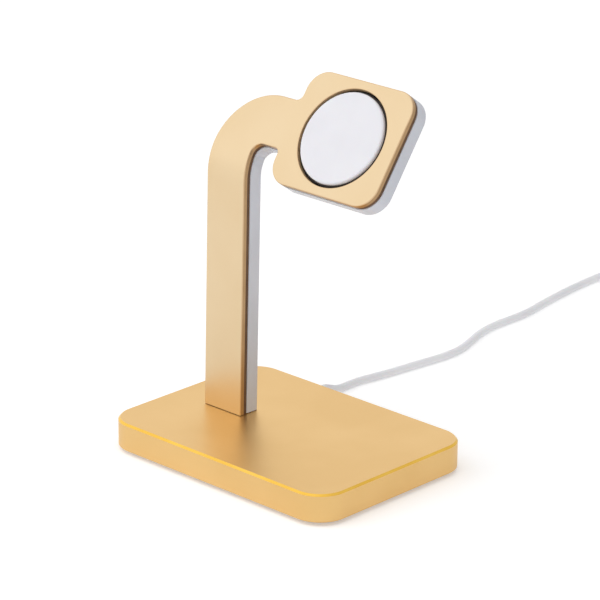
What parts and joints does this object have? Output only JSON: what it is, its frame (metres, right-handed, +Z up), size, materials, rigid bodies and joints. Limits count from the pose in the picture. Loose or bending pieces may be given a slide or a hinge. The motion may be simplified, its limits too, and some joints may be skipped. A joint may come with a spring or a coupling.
{
  "type": "smartwatch charging dock",
  "caption": "Desk dock for a smartwatch: a flat base with a bent post whose leaning head holds a round charging puck, with its lead coiled behind.",
  "frame": {"origin": "middle of the foot pad's underside, on the surface that the dock stands on", "axes": "+X to the right along the base's long edge, seen from the front; +Y to the back, where the lead leaves; +Z up"},
  "size_m": [0.083, 0.2448, 0.1079],
  "materials": {
    "gold_anodised": "satin anodised, with a bright cut edge",
    "white_plastic": "moulded, soft gloss",
    "white_cord": "smooth, soft gloss",
    "dark_tape": "matte foam",
    "dark_silicone": "matte",
    "black_rubber": "matte",
    "black_plastic": "matte",
    "ballast_steel": "zinc plated",
    "screw_steel": "plated",
    "plug_steel": "bright nickel plated sheet",
    "copper_wire": "enamelled wire",
    "dark_ferrite": "matte sintered",
    "nickel_magnet": "nickel plated",
    "circuit_board": "solder mask",
    "contact_gold": "gold plated"
  },
  "bodies": {
    "root": {"base_block": "gold_anodised", "front_plate": "gold_anodised", "rear_shell": "white_plastic", "charger_cap": "white_plastic", "plug_body": "white_plastic", "plug_insert": "white_plastic", "inner_lead": "white_cord", "cable_run": "white_cord", "cable_coil": "white_cord", "cable_tail": "white_cord", "cable_grommet": "white_cord", "bonding_tape": "dark_tape", "seat_ring": "dark_silicone", "foot_pad": "black_rubber", "base_cover": "black_plastic", "lead_clamp": "black_plastic", "cable_tie": "black_plastic", "base_ballast": "ballast_steel", "post_bracket": "ballast_steel", "cover_screw_1": "screw_steel", "cover_screw_2": "screw_steel", "cover_screw_3": "screw_steel", "cover_screw_4": "screw_steel", "clamp_screw_left": "screw_steel", "clamp_screw_right": "screw_steel", "post_screw_left": "screw_steel", "post_screw_right": "screw_steel", "plug_shell": "plug_steel", "charger_can": "plug_steel", "charging_coil": "copper_wire", "ferrite_disc": "dark_ferrite", "alignment_magnet": "nickel_magnet", "charger_board": "circuit_board", "plug_contact_1": "contact_gold", "plug_contact_2": "contact_gold", "plug_contact_3": "contact_gold", "plug_contact_4": "contact_gold"}
  },
  "joints": []
}
